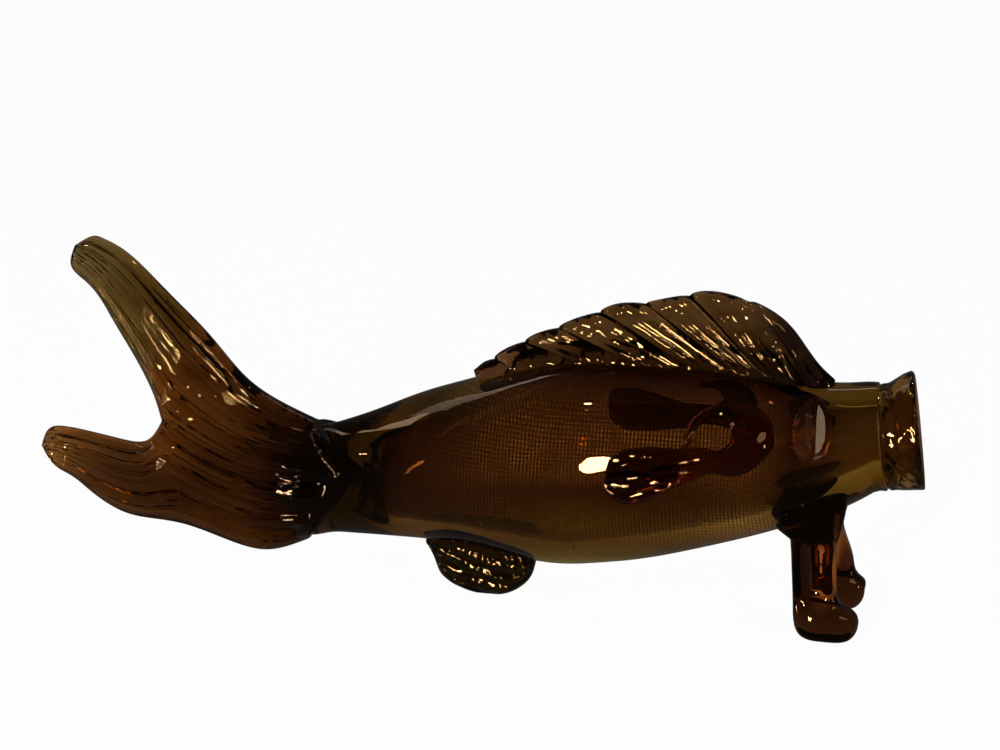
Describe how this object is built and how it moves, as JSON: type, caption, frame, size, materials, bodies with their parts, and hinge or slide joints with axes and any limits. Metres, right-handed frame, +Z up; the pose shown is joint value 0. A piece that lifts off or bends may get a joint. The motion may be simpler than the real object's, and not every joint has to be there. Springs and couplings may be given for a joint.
{
  "type": "fish decanter",
  "caption": "Hollow blown glass fish that stands on its fins and pours from its open mouth, with a forked ribbed tail, a crimped dorsal fin, curled side fins and button eyes.",
  "frame": {"origin": "on the table, midway between the tail's rear tip and the mouth's rim, in the fish's middle plane", "axes": "+X from the tail to the mouth, +Y to the fish's left, +Z up"},
  "size_m": [0.4039, 0.0918, 0.1529],
  "materials": {
    "blown_glass": "blown, fire polished",
    "lip_glass": "wrapped and fire polished",
    "tail_glass": "tooled ribs, fire polished",
    "fin_glass": "crimped, fire polished",
    "foot_glass": "drawn and crimped, sole flatted",
    "side_glass": "trailed and tooled, fire polished",
    "eye_glass": "pressed button, fire polished"
  },
  "bodies": {
    "root": {"body_shell": "blown_glass", "mouth_lip": "lip_glass", "tail_fin": "tail_glass", "dorsal_fin": "fin_glass", "rear_foot": "fin_glass", "front_foot_right": "foot_glass", "front_foot_left": "foot_glass", "side_fin_right": "side_glass", "side_fin_left": "side_glass", "eye_right": "eye_glass", "eye_left": "eye_glass"}
  },
  "joints": []
}
